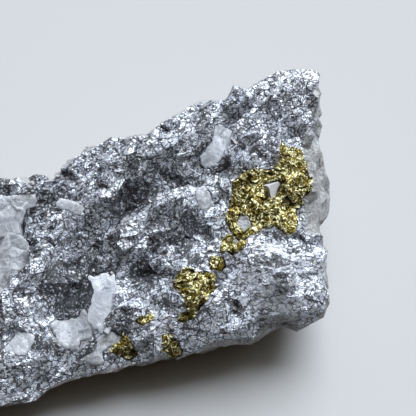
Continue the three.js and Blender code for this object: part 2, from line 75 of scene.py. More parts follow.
AIM = (0.2061, 0.0611, 0.7096)  # where the camera looks, in shares of the CAD box's sides
KEY_WAY = (0.32, 0.58, 0.78)  # towards the soft light
KEY_SPREAD = 50.0  # its width in the sky, in degrees
KEY_COLOUR = (0.92, 0.955, 1.0)
TABLE_HALF_WIDTH = 3000 * MM
ROOM_BRIGHT_WAY = (0.35, 0.6, 0.72)  # towards the brightest part of the room

# Light of the room: how far a direction is turned to its brightest part, and the colour there.
ROOM_STOPS = (
    (0.0, (0.045, 0.028, 0.01)),
    (0.5, (0.07, 0.046, 0.02)),
    (0.6, (0.15, 0.115, 0.07)),
    (0.7, (0.38, 0.36, 0.33)),
    (0.8, (0.74, 0.73, 0.7)),
    (0.92, (1.42, 1.39, 1.33)),
)

# How a triangle is cut, by the number of its edges that have a new corner: 0 to 2 stand for its own
# corners, and 3 to 5 for the new one that follows each of them.
CUTS = (
    (0, ((0, 1, 2),)),
    (1, ((0, 3, 2), (3, 1, 2))),
    (2, ((3, 1, 4), (0, 3, 4), (0, 4, 2))),
    (3, ((0, 3, 5), (3, 1, 4), (5, 4, 2), (3, 4, 5))),
)

# Chips with tapered sides: number of sides, and radius at the top.
TAPERED_CHIPS = ((3, 0.34), (4, 0.4), (5, 0.42), (4, 0.25))

# Dark and pale spots of the broken face, in millimetres: middle, half-length, half-width, turn in
# degrees, and tone. Tones add up, and the sum stays between -1, the darkest, and 1, the palest.
# The dark spots are partly the mineral's own dark grain and partly painted shade of hollows and of
# slopes that face away from the light.
FACE_TONES_AND_SHADE = (
    # the deep hollow and what leads to it, darkened as painted shade
    (-8.4, -8.8, 6.6, 4.4, 30, -0.8),
    (-9.6, -14.4, 2.8, 2.2, 10, -1.0),
    (-6.2, -12.2, 3.2, 1.0, 35, -1.0),
    (-17.0, -2.6, 3.4, 1.4, -62, -0.9),
    (-14.2, 5.4, 3.6, 1.3, 15, -1.0),
    (-11.4, 7.2, 3.2, 1.2, -15, -0.6),
    # the dark middle, partly dark grain and partly painted shade of its valleys
    (3.6, 7.0, 5.4, 2.6, 14, -0.8),
    (1.4, 3.0, 2.4, 1.1, 10, -0.6),
    (10.4, -2.2, 4.6, 2.0, -3, -1.0),
    (4.8, -7.8, 2.7, 2.2, -30, -0.95),
    (13.6, 10.8, 4.0, 1.1, -8, -0.85),
    (21.6, 12.4, 1.7, 1.4, 0, -0.8),
    (15.4, 2.2, 3.0, 1.9, 0, -0.4),
    (14.8, -6.2, 2.4, 1.0, -10, -0.6),
    (8.6, -13.4, 2.4, 1.0, -30, -0.5),
    (3.4, -17.0, 3.6, 1.5, -25, -0.6),
    (1.6, -19.2, 2.4, 0.8, 0, -0.8),
    (-2.4, -0.6, 2.2, 0.9, 10, -0.4),
    (5.6, 12.4, 4.4, 1.2, 5, -0.45),
    # the left and the front
    (-23.0, 8.4, 2.0, 2.6, 0, -0.8),
    (-19.0, -12.6, 1.8, 0.8, 10, -0.6),
    (-13.6, -22.0, 3.4, 1.0, -8, -0.7),
    (-5.0, -22.4, 1.5, 1.0, 0, -0.7),
    # the back and the tip
    (-10.2, 12.0, 1.8, 1.0, 35, -0.5),
    (-2.6, 17.2, 1.7, 0.9, 20, -0.8),
    (10.4, 20.0, 2.6, 0.7, 0, -0.6),
    (16.6, 20.2, 2.2, 0.8, 0, -0.6),
    (12.6, 16.6, 3.6, 2.2, 10, -0.1),
    (24.2, 17.0, 2.6, 0.9, -40, -0.5),
    (27.6, 16.4, 1.8, 1.2, 0, -0.6),
    (29.8, 22.8, 2.4, 1.0, -15, -0.75),
    (34.4, 21.6, 1.0, 1.0, 0, -0.8),
    (39.4, 26.3, 0.9, 1.1, 0, -1.0),
    # the corner block
    (22.4, -13.8, 3.4, 0.7, -52, -0.7),
    (31.0, -7.2, 5.0, 1.2, -8, -0.55),
    (36.2, -1.2, 2.8, 0.9, -22, -1.0),
    (30.5, -0.8, 4.0, 0.8, -6, -0.5),
    # broad pale areas
    (-16.5, 8.8, 5.0, 1.6, 5, 0.5),
    (-13.0, -27.5, 9.0, 2.8, 18, 0.35),
    (9.0, 19.0, 13.0, 4.5, 12, 0.15),
    (34.0, 26.0, 7.0, 5.0, 10, 0.3),
    (-14.0, -4.0, 9.0, 9.0, 0, 0.12),
    # pale plates on the left
    (-16.4, 1.6, 3.0, 1.8, -18, 0.7),
    (-12.6, -2.4, 2.2, 1.6, 0, 0.3),
    (-18.2, -9.4, 3.6, 2.4, -30, 0.55),
    (-16.4, -17.2, 4.2, 2.2, 0, 0.5),
    (-12.4, -16.8, 1.2, 0.8, 0, 1.0),
    (-2.6, -3.4, 2.8, 1.3, 0, 0.3),
    (2.8, -3.8, 3.2, 1.7, 38, 0.7),
    (1.2, -7.8, 1.9, 1.5, 0, 0.5),
    # pale plates of the middle
    (6.6, 2.8, 3.4, 2.6, 38, 0.7),
    (12.0, 6.0, 3.8, 1.4, -6, 0.9),
    (1.0, -13.6, 2.6, 1.7, -20, 0.45),
    (5.8, -13.6, 1.2, 0.8, -30, 0.9),
    (8.2, -12.2, 1.0, 0.9, 0, 0.9),
    (11.4, -7.0, 2.8, 1.3, -20, 0.7),
    (10.6, -3.8, 1.4, 0.6, 25, 1.2),
    (20.6, 8.0, 2.2, 2.2, 0, 0.45),
    (18.6, -0.8, 2.6, 1.8, 0, 0.5),
    # pale plates at the back
    (-4.6, 11.0, 5.2, 3.2, 0, 0.45),
    (-8.4, 13.8, 1.4, 0.9, 0, 0.9),
    (-7.0, 8.6, 1.4, 1.1, -30, 0.7),
    (2.0, 15.9, 3.2, 1.6, 0, 0.75),
    (7.4, 16.8, 2.4, 1.6, 0, 0.85),
    (9.0, 21.2, 1.3, 0.9, 0, 0.8),
    (13.2, 22.4, 1.8, 1.3, 0, 0.75),
    (17.6, 24.0, 2.8, 1.5, 0, 0.75),
    (17.2, 13.0, 1.5, 0.9, 0, 0.8),
    (27.0, 24.6, 3.4, 1.8, -15, 0.75),
    (28.6, 21.2, 3.2, 1.0, -22, 0.5),
    (32.6, 28.6, 4.8, 2.0, 25, 0.5),
    (24.6, 14.4, 1.4, 1.8, 0, 0.7),
    (31.8, 14.4, 2.2, 1.3, 15, 1.1),
    # pale plates of the corner block
    (29.0, -3.2, 5.2, 1.9, -8, 0.85),
    (23.0, -6.6, 2.4, 1.7, 0, 0.65),
    (24.8, -10.2, 3.6, 1.5, 15, 0.7),
    (29.6, -14.0, 3.4, 1.5, -25, 0.5),
    (35.0, -10.0, 3.6, 1.8, 25, 0.35),
    (38.3, -1.8, 1.4, 1.6, 0, 1.0),
    (21.2, -16.6, 1.6, 1.1, -45, 0.45),
    # the front edge
    (17.4, -18.6, 3.6, 1.4, -15, 0.85),
    (13.6, -20.6, 3.6, 1.2, 5, 0.6),
    (7.0, -22.0, 2.2, 1.2, 0, 0.45),
    # the pale plates above the large brassy patch
    (29.4, 13.9, 1.5, 0.9, 20, 1.6),
    (31.7, 15.4, 1.9, 0.9, 35, 1.6),
    # the balance of the wide areas
    (36.0, 26.0, 5.5, 4.0, 40, 0.5),
    (9.5, 18.0, 11.0, 4.5, 25, 0.2),
    (-13.5, -28.0, 7.0, 3.5, 0, 0.55),
    (-2.5, 6.0, 9.0, 4.0, 20, 0.15),
    (-4.6, -5.5, 7.0, 6.0, 0, -0.2),
)

# Single crystals of the broken face, in millimetres: middle, width, depth, height over the face,
# turn in degrees, and tone.
LARGE_CRYSTALS = (
    (1.9, -3.2, 2.3, 1.9, 0.5, 20, 1.0),
    (40.2, 27.7, 1.2, 1.4, 0.5, 30, 1.0),
    (38.8, 10.8, 0.9, 0.7, 0.4, 10, 1.0),
    (-1.5, -19.5, 1.2, 0.9, 0.4, 40, 1.0),
    (23.4, 17.9, 2.0, 0.3, 0.4, -38, 1.0),
    (24.0, 17.2, 2.0, 0.3, 0.4, -38, 1.0),
    (-17.9, 9.2, 0.9, 2.3, 0.4, 32, 1.0),
)

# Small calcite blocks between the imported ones, laid out like the crystals.
SMALL_CALCITES = (
    (-21.8, 0.2, 5.6, 3.0, 0.5, 4, 0.3),
    (-23.4, 5.2, 2.0, 2.6, 0.9, 10, 1.0),
    (-3.2, -18.4, 1.0, 0.7, 0.4, 40, 1.0),
)

# How many times each calcite is relaxed, which softens its edges, and how white it is from 0 to 1.
CALCITE_LOOKS = {
    "calcite_blade": (3, 0.8),
    "calcite_rhomb": (2, 1.0),
    "calcite_bar": (2, 0.8),
    "calcite_pad": (8, 0.7),
    "calcite_front_blocks": (4, 0.6),
    "calcite_cluster": (5, 0.3),
    "calcite_in_chalcopyrite": (2, 0.3),
    "calcite_upper_patch": (4, 0.6),
    "calcite_middle_patch": (4, 0.5),
    "calcite_back_patch": (4, 0.4),
}


# ---- Settings ----


def length(name, description, millimetres):
    """A length setting with its default in millimetres."""
    settings = {"default": millimetres * MM, "min": 0.0, "unit": "LENGTH", "precision": 5}
    return bpy.props.FloatProperty(name=name, description=description, **settings)


def number(name, description, default):
    """A plain number setting."""
    return bpy.props.FloatProperty(name=name, description=description, default=default, min=0.0)


def tint(name, description, default):
    """A colour setting."""
    settings = {"default": default, "size": 3, "min": 0.0, "max": 1.0, "subtype": "COLOR"}
    return bpy.props.FloatVectorProperty(name=name, description=description, **settings)


class SurfaceSettings(bpy.types.PropertyGroup):
    """How fine and how rough the broken surfaces are."""

    face_edge: length("Face edge", "Longest edge of the mesh on the broken face", 0.42)
    side_edge: length("Side edge", "Longest edge of the mesh on the sides", 0.7)
    foot_edge: length("Foot edge", "Longest edge of the mesh underneath", 1.8)
    triangles: bpy.props.IntProperty(
        name="Triangles",
        description="Most triangles that the mass is left with",
        default=196000,
        min=1000,
    )
    metal_edge: length("Chalcopyrite edge", "Longest edge of the chalcopyrite's mesh", 0.2)
    calcite_edge: length("Calcite edge", "Longest edge of the calcite's mesh", 0.3)
    relief: number("Relief", "Share of the full roughness that the mass gets", 0.65)


class GrainSettings(bpy.types.PropertyGroup):
    """The loose chips that crust the mass."""

    chip_size: length("Chip", "Mean width of the thin chips", 0.6)
    chip_density: number("Chip density", "Chips for each square millimetre of the broken face", 0.1)


class ColourSettings(bpy.types.PropertyGroup):
    """The colours of the three minerals and the table."""

    skutterudite: tint("Skutterudite", "Open metallic faces", (0.79, 0.865, 1.0))
    tarnish: tint("Tarnish", "Fine dark grain between the faces", (0.03, 0.033, 0.04))
    weathered: tint("Weathered", "Dull grain of the sides", (0.295, 0.307, 0.32))
    # Painted shade: dark brown low on the rock, under its overhang, which darkens and warms the
    # shadow on the table.
    underside_shade_brown: tint("Stain", "Brown stain of the underside", (0.1, 0.068, 0.034))
    chalcopyrite: tint("Chalcopyrite", "Brassy ochre", (0.84, 0.63, 0.06))
    # Painted highlight: the pale yellow of the crinkled folds stands in for their glints.
    chalcopyrite_highlight: tint("Chalcopyrite, light", "Pale yellow folds", (1.0, 1.0, 0.66))
    # Olive brown: partly the mineral's own dark tone, partly painted shade in the hollows.
    chalcopyrite_dark: tint("Chalcopyrite, dark", "Olive brown hollows", (0.042, 0.03, 0.002))
    calcite: tint("Calcite", "Milky cleavage faces", (0.75, 0.81, 0.9))
    table: tint("Table", "The pale table", (0.482, 0.505, 0.53))


class StageSettings(bpy.types.PropertyGroup):
    """Camera and light."""

    elevation: bpy.props.FloatProperty(
        name="Camera elevation",
        description="Height of the camera over the horizon",
        default=np.radians(58.0),
        subtype="ANGLE",
    )
    distance: length("Camera distance", "From the camera to the point that it looks at", 231.0)
    lens: number("Lens", "Focal length in millimetres", 100.0)
    key_strength: number("Key light", "Strength of the soft light behind and to the right", 4.3)
    room_strength: number("Room light", "Strength of the light from the room", 0.9)


# ---- Fields over the surface ----


def cell_number(cells, channel):
    """A number from 0 to 1 for each row of whole numbers, the same on each run."""
    x, y, z = (cells[:, axis].astype(np.int64).astype(np.uint32) for axis in range(3))
    mixed = x * np.uint32(374761393) + y * np.uint32(668265263) + z * np.uint32(2246822519)
    mixed += np.uint32((channel * 3266489917) % 2**32)
    mixed = (mixed ^ (mixed >> np.uint32(15))) * np.uint32(2654435761)
    mixed = (mixed ^ (mixed >> np.uint32(13))) * np.uint32(1274126177)
    return ((mixed ^ (mixed >> np.uint32(16))) & np.uint32(0xFFFFFF)) / float(0xFFFFFF)


def nearest_cell(points, size, seed):
    """Offset of each point from the seed of its cell, and that cell."""
    home = np.floor(points / size - 0.5).astype(np.int64)
    best = np.full(len(points), np.inf)
    offset = np.zeros_like(points)
    cell = home.copy()
    for step in itertools.product((0, 1), repeat=3):
        corner = home + np.array(step)
        jitter = np.stack([cell_number(corner, seed + axis) for axis in range(3)], axis=1)
        away = points - (corner + 0.15 + 0.7 * jitter) * size
        distance = (away**2).sum(axis=1)
        closer = distance < best
        best[closer] = distance[closer]
        offset[closer] = away[closer]
        cell[closer] = corner[closer]
    return offset, cell


def facets(points, size, tilt, step, seed):
    """Height and tone of a surface broken in flat facets, each with its own tilt and level."""
    offset, cell = nearest_cell(points, size, seed)
    lean = np.stack([cell_number(cell, seed + 10 + axis) - 0.5 for axis in range(3)], axis=1)
    lean /= np.linalg.norm(lean, axis=1, keepdims=True)
    height = tilt * (offset * lean).sum(axis=1) + step * (cell_number(cell, seed + 20) - 0.5)
    return height, cell_number(cell, seed + 30) - 0.5


def soft_noise(points, size, seed):
    """Soft noise from -1 to 1."""
    scaled = points / size
    home = np.floor(scaled).astype(np.int64)
    part = scaled - home
    part = part * part * (3 - 2 * part)
    total = np.zeros(len(points))
    for step in itertools.product((0, 1), repeat=3):
        weight = np.prod(np.where(np.array(step) == 1, part, 1 - part), axis=1)
        total += weight * cell_number(home + np.array(step), seed)
    return 2 * total - 1


def wandering(points, size, amount, seed):
    """The points moved about by soft noise, so that straight borders become ragged."""
    moves = [soft_noise(points, size, seed + axis) for axis in range(3)]
    return points + amount * np.stack(moves, axis=1)


def blob(points, centre, reach):
    """1 at a centre, fading to 0 about one reach away from it."""
    return np.exp(-(((points - centre) / reach) ** 2).sum(axis=1))


def smoothstep(values, low, high):
    """0 below low, 1 above high, and a soft step between them."""
    part = np.clip((values - low) / (high - low), 0, 1)
    return part * part * (3 - 2 * part)


def height_over_face(points):
    """Height of each point over the broken face's plane, measured square to it."""
    return (points[:, 2] - FACE_LEVEL - FACE_SLOPE * points[:, 1]) * FACE_NORMAL[2]


def face_tone(points):
    """How much paler or darker than elsewhere the broken face is at each point, painted shade
    included.
    """
    tone = np.zeros(len(points))
    for x, y, half_length, half_width, turn, strength in FACE_TONES_AND_SHADE:
        away = points[:, :2] - np.array([x, y]) * MM
        along = np.array([np.cos(np.radians(turn)), np.sin(np.radians(turn))])
        across = np.array([-along[1], along[0]])
        off = np.hypot(away @ along / half_length, away @ across / half_width) / MM
        tone += strength * (1 - smoothstep(off, 0.8, 1.35))
    return np.clip(tone, -1, 1)


def corner_block(points):
    """1 on the foliated block at the front right corner, 0 elsewhere."""
    middle = np.array([31, -9, 15]) * MM
    reach = np.array([10, 8.5, 12]) * MM
    return np.clip(1.4 * blob(points, middle, reach), 0, 1)


def worn_rim(points):
    """1 on the smooth, dull rim right of the large brassy patch, 0 elsewhere."""
    inner = 37.6 * MM + 0.5 * MM * soft_noise(points, 3 * MM, seed=15)
    across = smoothstep(points[:, 0] - inner, -0.5 * MM, 0.5 * MM)
    front = smoothstep(points[:, 1], -2 * MM, 0)
    back = smoothstep(points[:, 1], 19 * MM, 22 * MM)
    return across * front * (1 - back)


# ---- Meshes ----


def new_object(name, mesh):
    """Links a mesh to the scene as an object."""
    piece = bpy.data.objects.new(name, mesh)
    bpy.context.scene.collection.objects.link(piece)
    return piece


def node_triangles(name):
    """Corners and triangles of a CAD node, with its loose triangles merged."""
    merged = bmesh.new()
    merged.from_mesh(NODES[name].data)
    bmesh.ops.remove_doubles(merged, verts=merged.verts, dist=1e-6)
    bmesh.ops.triangulate(merged, faces=merged.faces)
    points = np.array([corner.co for corner in merged.verts])
    faces = np.array([[corner.index for corner in face.verts] for face in merged.faces])
    merged.free()
    return points, faces


def rolled(rows, turns):
    """Each row of three turned round by its own number of places."""
    return np.take_along_axis(rows, (np.arange(3) + turns[:, None]) % 3, axis=1)


def refined(points, faces, longest):
    """Splits every edge longer than longest(its middle) until none is left."""
    while True:
        low, high = np.sort(faces[:, [[0, 1], [1, 2], [2, 0]]], axis=2).reshape(-1, 2).T
        edges, edge_of_side = np.unique(low * len(points) + high, return_inverse=True)
        ends = points[np.stack(np.divmod(edges, len(points)), axis=1)]
        middles = ends.mean(axis=1)
        split = np.linalg.norm(ends[:, 0] - ends[:, 1], axis=1) > longest(middles)
        if not split.any():
            return points, faces
        new_corner = np.full(len(edges), -1)
        new_corner[split] = len(points) + np.arange(split.sum())
        points = np.vstack((points, middles[split]))
        faces = split_faces(faces, new_corner[edge_of_side].reshape(-1, 3))


def split_faces(faces, middles):
    """Splits triangles at the new corners on their edges; -1 stands for an edge without one."""
    new = middles >= 0
    count = new.sum(axis=1)
    after_gap = (np.argmin(new, axis=1) + 1) % 3
    turns = np.where(count == 2, after_gap, np.argmax(new, axis=1))
    corners = np.hstack((rolled(faces, turns), rolled(middles, turns)))
    parts = [corners[count == sides][:, cut] for sides, cuts in CUTS for cut in cuts]
    return np.vstack(parts)


def fine_object(node, name, longest):
    """A new object with a node's exact shape and short edges."""
    points, faces = refined(*node_triangles(node), longest)
    mesh = bpy.data.meshes.new(name)
    mesh.from_pydata(points, [], faces)
    return new_object(name, mesh)


def read_points(mesh, attribute="co"):
    """Positions or normals of a mesh's points, one row each."""
    flat = np.empty(len(mesh.vertices) * 3, np.float32)
    mesh.vertices.foreach_get(attribute, flat)
    return flat.reshape(-1, 3).astype(np.float64)


def write_points(mesh, points):
    """Moves a mesh's points and gives its new normals."""
    mesh.vertices.foreach_set("co", points.astype(np.float32).ravel())
    mesh.update()
    return read_points(mesh, "normal")


def write_attribute(mesh, name, values):
    """Stores one number for each point of a mesh."""
    layer = mesh.attributes.get(name) or mesh.attributes.new(name, "FLOAT", "POINT")
    layer.data.foreach_set("value", values.astype(np.float32))


def relaxed(mesh, points, rounds):
    """The points after a number of rounds in which each moves to the mean of its neighbours."""
    pairs = np.empty(len(mesh.edges) * 2, np.int32)
    mesh.edges.foreach_get("vertices", pairs)
    first, last = pairs.reshape(-1, 2).T
    count = len(points)
    degree = np.bincount(first, minlength=count) + np.bincount(last, minlength=count)

    def neighbour_sum(values):
        return np.bincount(first, values[last], count) + np.bincount(last, values[first], count)

    for _ in range(rounds):
        total = np.stack([neighbour_sum(column) for column in points.T], axis=1)
        points = total / degree[:, None]
    return points


def hollowness(mesh, points, normals, rounds, depth):
    """How far each point lies below the relaxed surface, from -1 on a ridge to 1 in a hollow."""
    below = ((relaxed(mesh, points, rounds) - points) * normals).sum(axis=1)
    return np.clip(below / depth, -1, 1)


def large_normals(mesh, points, rounds):
    """Normals of the surface after it is relaxed, which follow only its large forms."""
    copy = mesh.copy()
    normals = write_points(copy, relaxed(copy, points, rounds))
    bpy.data.meshes.remove(copy)
    return normals


def thinned(piece, most):
    """Merges a piece's flattest triangles until no more than a number of them is left."""
    before = piece.data
    fewer = piece.modifiers.new("Fewer", "DECIMATE")
    fewer.ratio = min(1.0, most / len(before.polygons))
    piece.data = evaluated_mesh(piece)
    piece.modifiers.clear()
    piece.data.name = piece.name
    bpy.data.meshes.remove(before)


def evaluated_mesh(piece):
    """The mesh that an object's modifiers make, as a plain mesh."""
    depsgraph = bpy.context.evaluated_depsgraph_get()
    return bpy.data.meshes.new_from_object(piece.evaluated_get(depsgraph), depsgraph=depsgraph)


# ---- Shader maths ----


class Signal:
    """A socket's value, with operators that add Math nodes to its tree."""

    def __init__(self, shader, socket):
        self.shader = shader
        self.socket = socket

    def math(self, operation, first, second):
        return self.shader.node("ShaderNodeMath", {0: first, 1: second}, operation=operation)

    def __add__(self, other):
        return self.math("ADD", self, other)

    __radd__ = __add__

    def __mul__(self, other):
        return self.math("MULTIPLY", self, other)

    __rmul__ = __mul__

    def __sub__(self, other):
        return self.math("SUBTRACT", self, other)

    def __rsub__(self, other):
        return self.math("SUBTRACT", other, self)

    def clamped(self):
        return self.shader.node("ShaderNodeClamp", {0: self})


class Shader:
    """The node tree of a material or world, with one method that adds nodes to it."""

    def __init__(self, owner):
        self.owner = owner
        owner.use_nodes = True
        self.tree = owner.node_tree
        self.tree.nodes.clear()

    def node(self, kind, values, output=0, **settings):
        """Adds a node, fills its sockets with values or links, and gives one output."""
        made = self.tree.nodes.new(kind)
        for key, value in settings.items():
            if key == "stops":
                fill_ramp(made.color_ramp, value)
            else:
                setattr(made, key, value)
        for key, value in values.items():
            if isinstance(value, Signal):
                self.tree.links.new(value.socket, made.inputs[key])
            else:
                made.inputs[key].default_value = value
        return Signal(self, made.outputs[output]) if made.outputs else None

    def vector(self, operation, values, output=0):
        """A Vector Math node."""
        return self.node("ShaderNodeVectorMath", values, output, operation=operation)

    def leaning(self, start, colour, amount):
        """A vector moved by an amount of a random colour, in which middle grey is no move."""
        move = self.vector("SCALE", {0: self.centred(colour), "Scale": amount})
        return self.vector("ADD", {0: start, 1: move})

    def centred(self, colour):
        """A colour as a vector, with middle grey as its zero."""
        return self.vector("SUBTRACT", {0: colour, 1: (0.5, 0.5, 0.5)})

    def position(self):
        """Place on the object."""
        return self.node("ShaderNodeTexCoord", {}, "Object")

    def ragged_position(self, size, amount):
        """Place on the object, moved about so that straight borders become ragged."""
        values = {"Vector": self.position(), "Scale": 1 / size, "Detail": 2.0}
        noise = self.node("ShaderNodeTexNoise", values, "Color")
        return self.leaning(self.position(), noise, amount)

    def attribute(self, name):
        """A number stored at the mesh's points."""
        return self.node("ShaderNodeAttribute", {}, "Fac", attribute_name=name)

    def noise(self, size, detail, roughness=0.55, place=None):
        """Soft noise from 0 to 1 with features of a size."""
        values = {"Vector": place or self.position(), "Scale": 1 / size}
        values.update({"Detail": detail, "Roughness": roughness})
        return self.node("ShaderNodeTexNoise", values)

    def stretched(self, place, turn, share):
        """A place turned about the upright axis and stretched along one of its directions."""
        values = {"Vector": place, "Rotation": (0.0, 0.0, turn), "Scale": (share, 1.0, 1.0)}
        return self.node("ShaderNodeMapping", values)

    def cells(self, place, size, output, feature="F1"):
        """Distance or Color of the nearest grain of a size."""
        values = {"Vector": place, "Scale": 1 / size}
        return self.node("ShaderNodeTexVoronoi", values, output, feature=feature)

    def seams(self, place, size, width):
        """1 on the thin seams between grains of a size."""
        return self.lines(self.cells(place, size, "Distance", "DISTANCE_TO_EDGE"), width)

    def cell_tone(self, place, size):
        """A number from 0 to 1 for each grain."""
        return self.node("ShaderNodeSeparateColor", {0: self.cells(place, size, "Color")})

    def blend(self, factor, first, second):
        """Mixes two colours."""
        return self.node("ShaderNodeMix", {0: factor, 6: first, 7: second}, 2, data_type="RGBA")

    def between(self, value, low, high):
        """0 below low and 1 above high."""
        values = {0: value, 1: low, 2: high}
        return self.node("ShaderNodeMapRange", values, interpolation_type="SMOOTHSTEP")

    def patches(self, size, low, high, detail, roughness=0.55):
        """0 and 1 in soft patches of a size."""
        return self.between(self.noise(size, detail, roughness), low, high)

    def lines(self, value, width):
        """1 on the thin lines where a value is 0, and 0 from a width away."""
        return 1 - self.between(value, 0.45 * width, width)

    def contours(self, noise, count):
        """0 on the contour lines of a noise and up to 0.5 between them, as on curved ledges."""
        return self.node("ShaderNodeMath", {0: noise * count, 1: 0.5}, operation="PINGPONG")

    def striations(self, place, size, spacing):
        """0 on straight lines, up to 0.5 between them; they run another way in each grain."""
        way = self.vector("NORMALIZE", {0: self.centred(self.cells(place, size, "Color"))})
        return self.contours(self.facing(place, way), 1 / spacing)

    def facing(self, first, second):
        """The dot product of two vectors."""
        return self.vector("DOT_PRODUCT", {0: first, 1: second}, "Value")

    def glints(self, place, size, spread):
        """The surface's normal, leaned another way in each grain of a size."""
        normal = self.node("ShaderNodeNewGeometry", {}, "Normal")
        leaned = self.leaning(normal, self.cells(place, size, "Color"), spread)
        return self.vector("NORMALIZE", {0: leaned})

    def bump(self, height, distance, normal=None):
        """A Bump node over a height."""
        values = {"Height": height, "Distance": distance, "Strength": 0.8}
        if normal is not None:
            values["Normal"] = normal
        return self.node("ShaderNodeBump", values)

    def finish(self, values):
        """Ends a material's tree in one Principled shader."""
        surface = self.node("ShaderNodeBsdfPrincipled", values)
        self.node("ShaderNodeOutputMaterial", {"Surface": surface})
        return self.owner


def fill_ramp(ramp, stops):
    """Sets a ramp's stops from (position, colour) pairs."""
    while len(ramp.elements) < len(stops):
        ramp.elements.new(0.5)
    for element, (position, shade) in zip(ramp.elements, stops):
        element.position = position
        element.color = opaque(shade)


def opaque(shade, share=1.0):
    """A colour with full alpha, darkened to a share."""
    return (*(share * part for part in shade[:3]), 1.0)


def skutterudite_material(colours):
    """Silvery plates cut by thin dark seams, dark and flecked between them, dull on the sides."""
    plate_size = 2.4 * MM
    chip_size = 1.0 * MM
    ledge_size = 3.2 * MM
    shader = Shader(bpy.data.materials.new("skutterudite"))
    pale = shader.attribute("pale")
    side = shader.attribute("side")
    whole = shader.attribute("whole")
    place = shader.ragged_position(1.6 * MM, 1.3 * MM)
    fine_place = shader.ragged_position(2.0 * MM, 1.2 * MM)
    leaf_place = shader.stretched(place, turn=0.35, share=0.3)
    sliver_place = shader.stretched(fine_place, turn=-0.7, share=0.55)
    plates = shader.cell_tone(place, plate_size)
    chips = shader.cell_tone(fine_place, chip_size)
    speck = shader.cell_tone(shader.position(), 0.36 * MM)
    grain = shader.patches(0.34 * MM, 0.38, 0.62, detail=2.0, roughness=0.7)
    # pale brings in the painted shade of hollows and dark spots as well as the mineral's own tone.
    plate = shader.between(pale + 0.16 * plates + 0.1 * chips, 0.42, 0.78)
    seams = shader.seams(place, plate_size, width=0.055)
    seams = seams * shader.patches(2.6 * MM, 0.44, 0.54, detail=2.0)
    cracks = shader.seams(sliver_place, chip_size, width=0.1)
    cracks = cracks * shader.patches(1.2 * MM, 0.4, 0.5, detail=3.0)
    leaves = shader.noise(ledge_size, detail=3.5, place=leaf_place)
    leaves = shader.lines(shader.contours(leaves, count=5.0), width=0.1)
    ledges = shader.noise(ledge_size, detail=5.0, roughness=0.62)
    ledges = shader.lines(shader.contours(ledges, count=7.0), width=0.12)
    hatch = shader.lines(shader.striations(place, 3.0 * MM, spacing=0.6 * MM), width=0.2)
    hatch = 0.4 * hatch * shader.patches(3.5 * MM, 0.48, 0.58, detail=2.0)
    pits = 1 - shader.between(speck, 0.07, 0.2)
    dark = (seams + cracks + ledges + hatch + 0.5 * pits).clamped() * (1 - whole)
    dark = dark + 3.2 * (leaves + 0.4 * cracks) * whole * (1 - whole)
    open_tone = 0.9 + 0.2 * chips + 0.14 * speck
    fine_tone = 0.05 + 0.43 * pale + 0.14 * chips + 0.52 * shader.between(speck, 0.55, 0.9)
    bright = (plate * open_tone + (1 - plate) * fine_tone).clamped() * (1 - 0.88 * dark.clamped())
    bright = bright * (1.16 + 1.05 * (grain - 0.5) * (1 - whole))
    lightness = bright * (0.41 + 0.59 * bright)
    metal = shader.blend(lightness, opaque(colours.tarnish), opaque(colours.skutterudite))
    dull_tone = 0.75 * shader.noise(0.45 * MM, detail=4.0, roughness=0.7) + 0.35 * speck
    dull_tone = (dull_tone + 0.1 - 0.3 * cracks).clamped()
    dull = shader.blend(dull_tone, opaque(colours.weathered, 0.35), opaque(colours.weathered, 1.6))
    # Painted shade: the sides turn dark brown towards the table.
    dull = shader.blend(shader.attribute("stained"), dull, opaque(colours.underside_shade_brown))
    height = 0.5 * chips - 0.8 * dark + 0.5 * speck
    leaned = shader.glints(place, 0.9 * MM, spread=0.3)
    return shader.finish(
        {
            "Base Color": shader.blend(side, metal, dull),
            "Metallic": (0.25 * bright * (1 - 0.9 * side) * (1 - whole)).clamped(),
            "Roughness": (0.5 - 0.2 * bright + 0.1 * speck + 0.3 * side).clamped(),
            "Normal": shader.bump(height, 0.05 * MM, leaned),
        }
    )


def chalcopyrite_material(colours):
    """Brassy crinkled foil: thin pale folds painted as highlights over ochre, olive brown in the
    hollows partly as painted shade.
    """
    shader = Shader(bpy.data.materials.new("chalcopyrite"))
    pale = shader.attribute("pale")
    place = shader.ragged_position(1.2 * MM, 1.1 * MM)
    ridges = shader.noise(2.4 * MM, detail=4.0, roughness=0.6)
    ridges = shader.lines(shader.contours(ridges, count=7.0), width=0.2)
    creases = shader.seams(place, 1.0 * MM, width=0.16)
    cloud = shader.patches(1.8 * MM, 0.38, 0.62, detail=3.0)
    speck = shader.cell_tone(shader.position(), 0.3 * MM)
    # Pale yellow lines on the folds: painted highlights.
    fold_highlight = (0.15 + 0.85 * cloud) * (2.8 * ridges + 0.4 * speck) * (0.35 + 0.9 * pale)
    fold_highlight = fold_highlight.clamped()
    ochre = (0.6 * pale + 0.45 * cloud + 0.4 * speck - 0.6 * creases - 0.2).clamped()
    base = shader.blend(ochre, opaque(colours.chalcopyrite_dark), opaque(colours.chalcopyrite, 0.5))
    height = ridges + 0.4 * speck - 0.7 * creases
    leaned = shader.glints(place, 0.6 * MM, spread=0.35)
    return shader.finish(
        {
            "Base Color": shader.blend(fold_highlight * fold_highlight, base, opaque(colours.chalcopyrite_highlight)),
            "Metallic": 0.35,
            "Specular IOR Level": 0.2,
            "Roughness": (0.42 - 0.12 * fold_highlight + 0.1 * speck).clamped(),
            "Normal": shader.bump(height, 0.06 * MM, leaned),
        }
    )


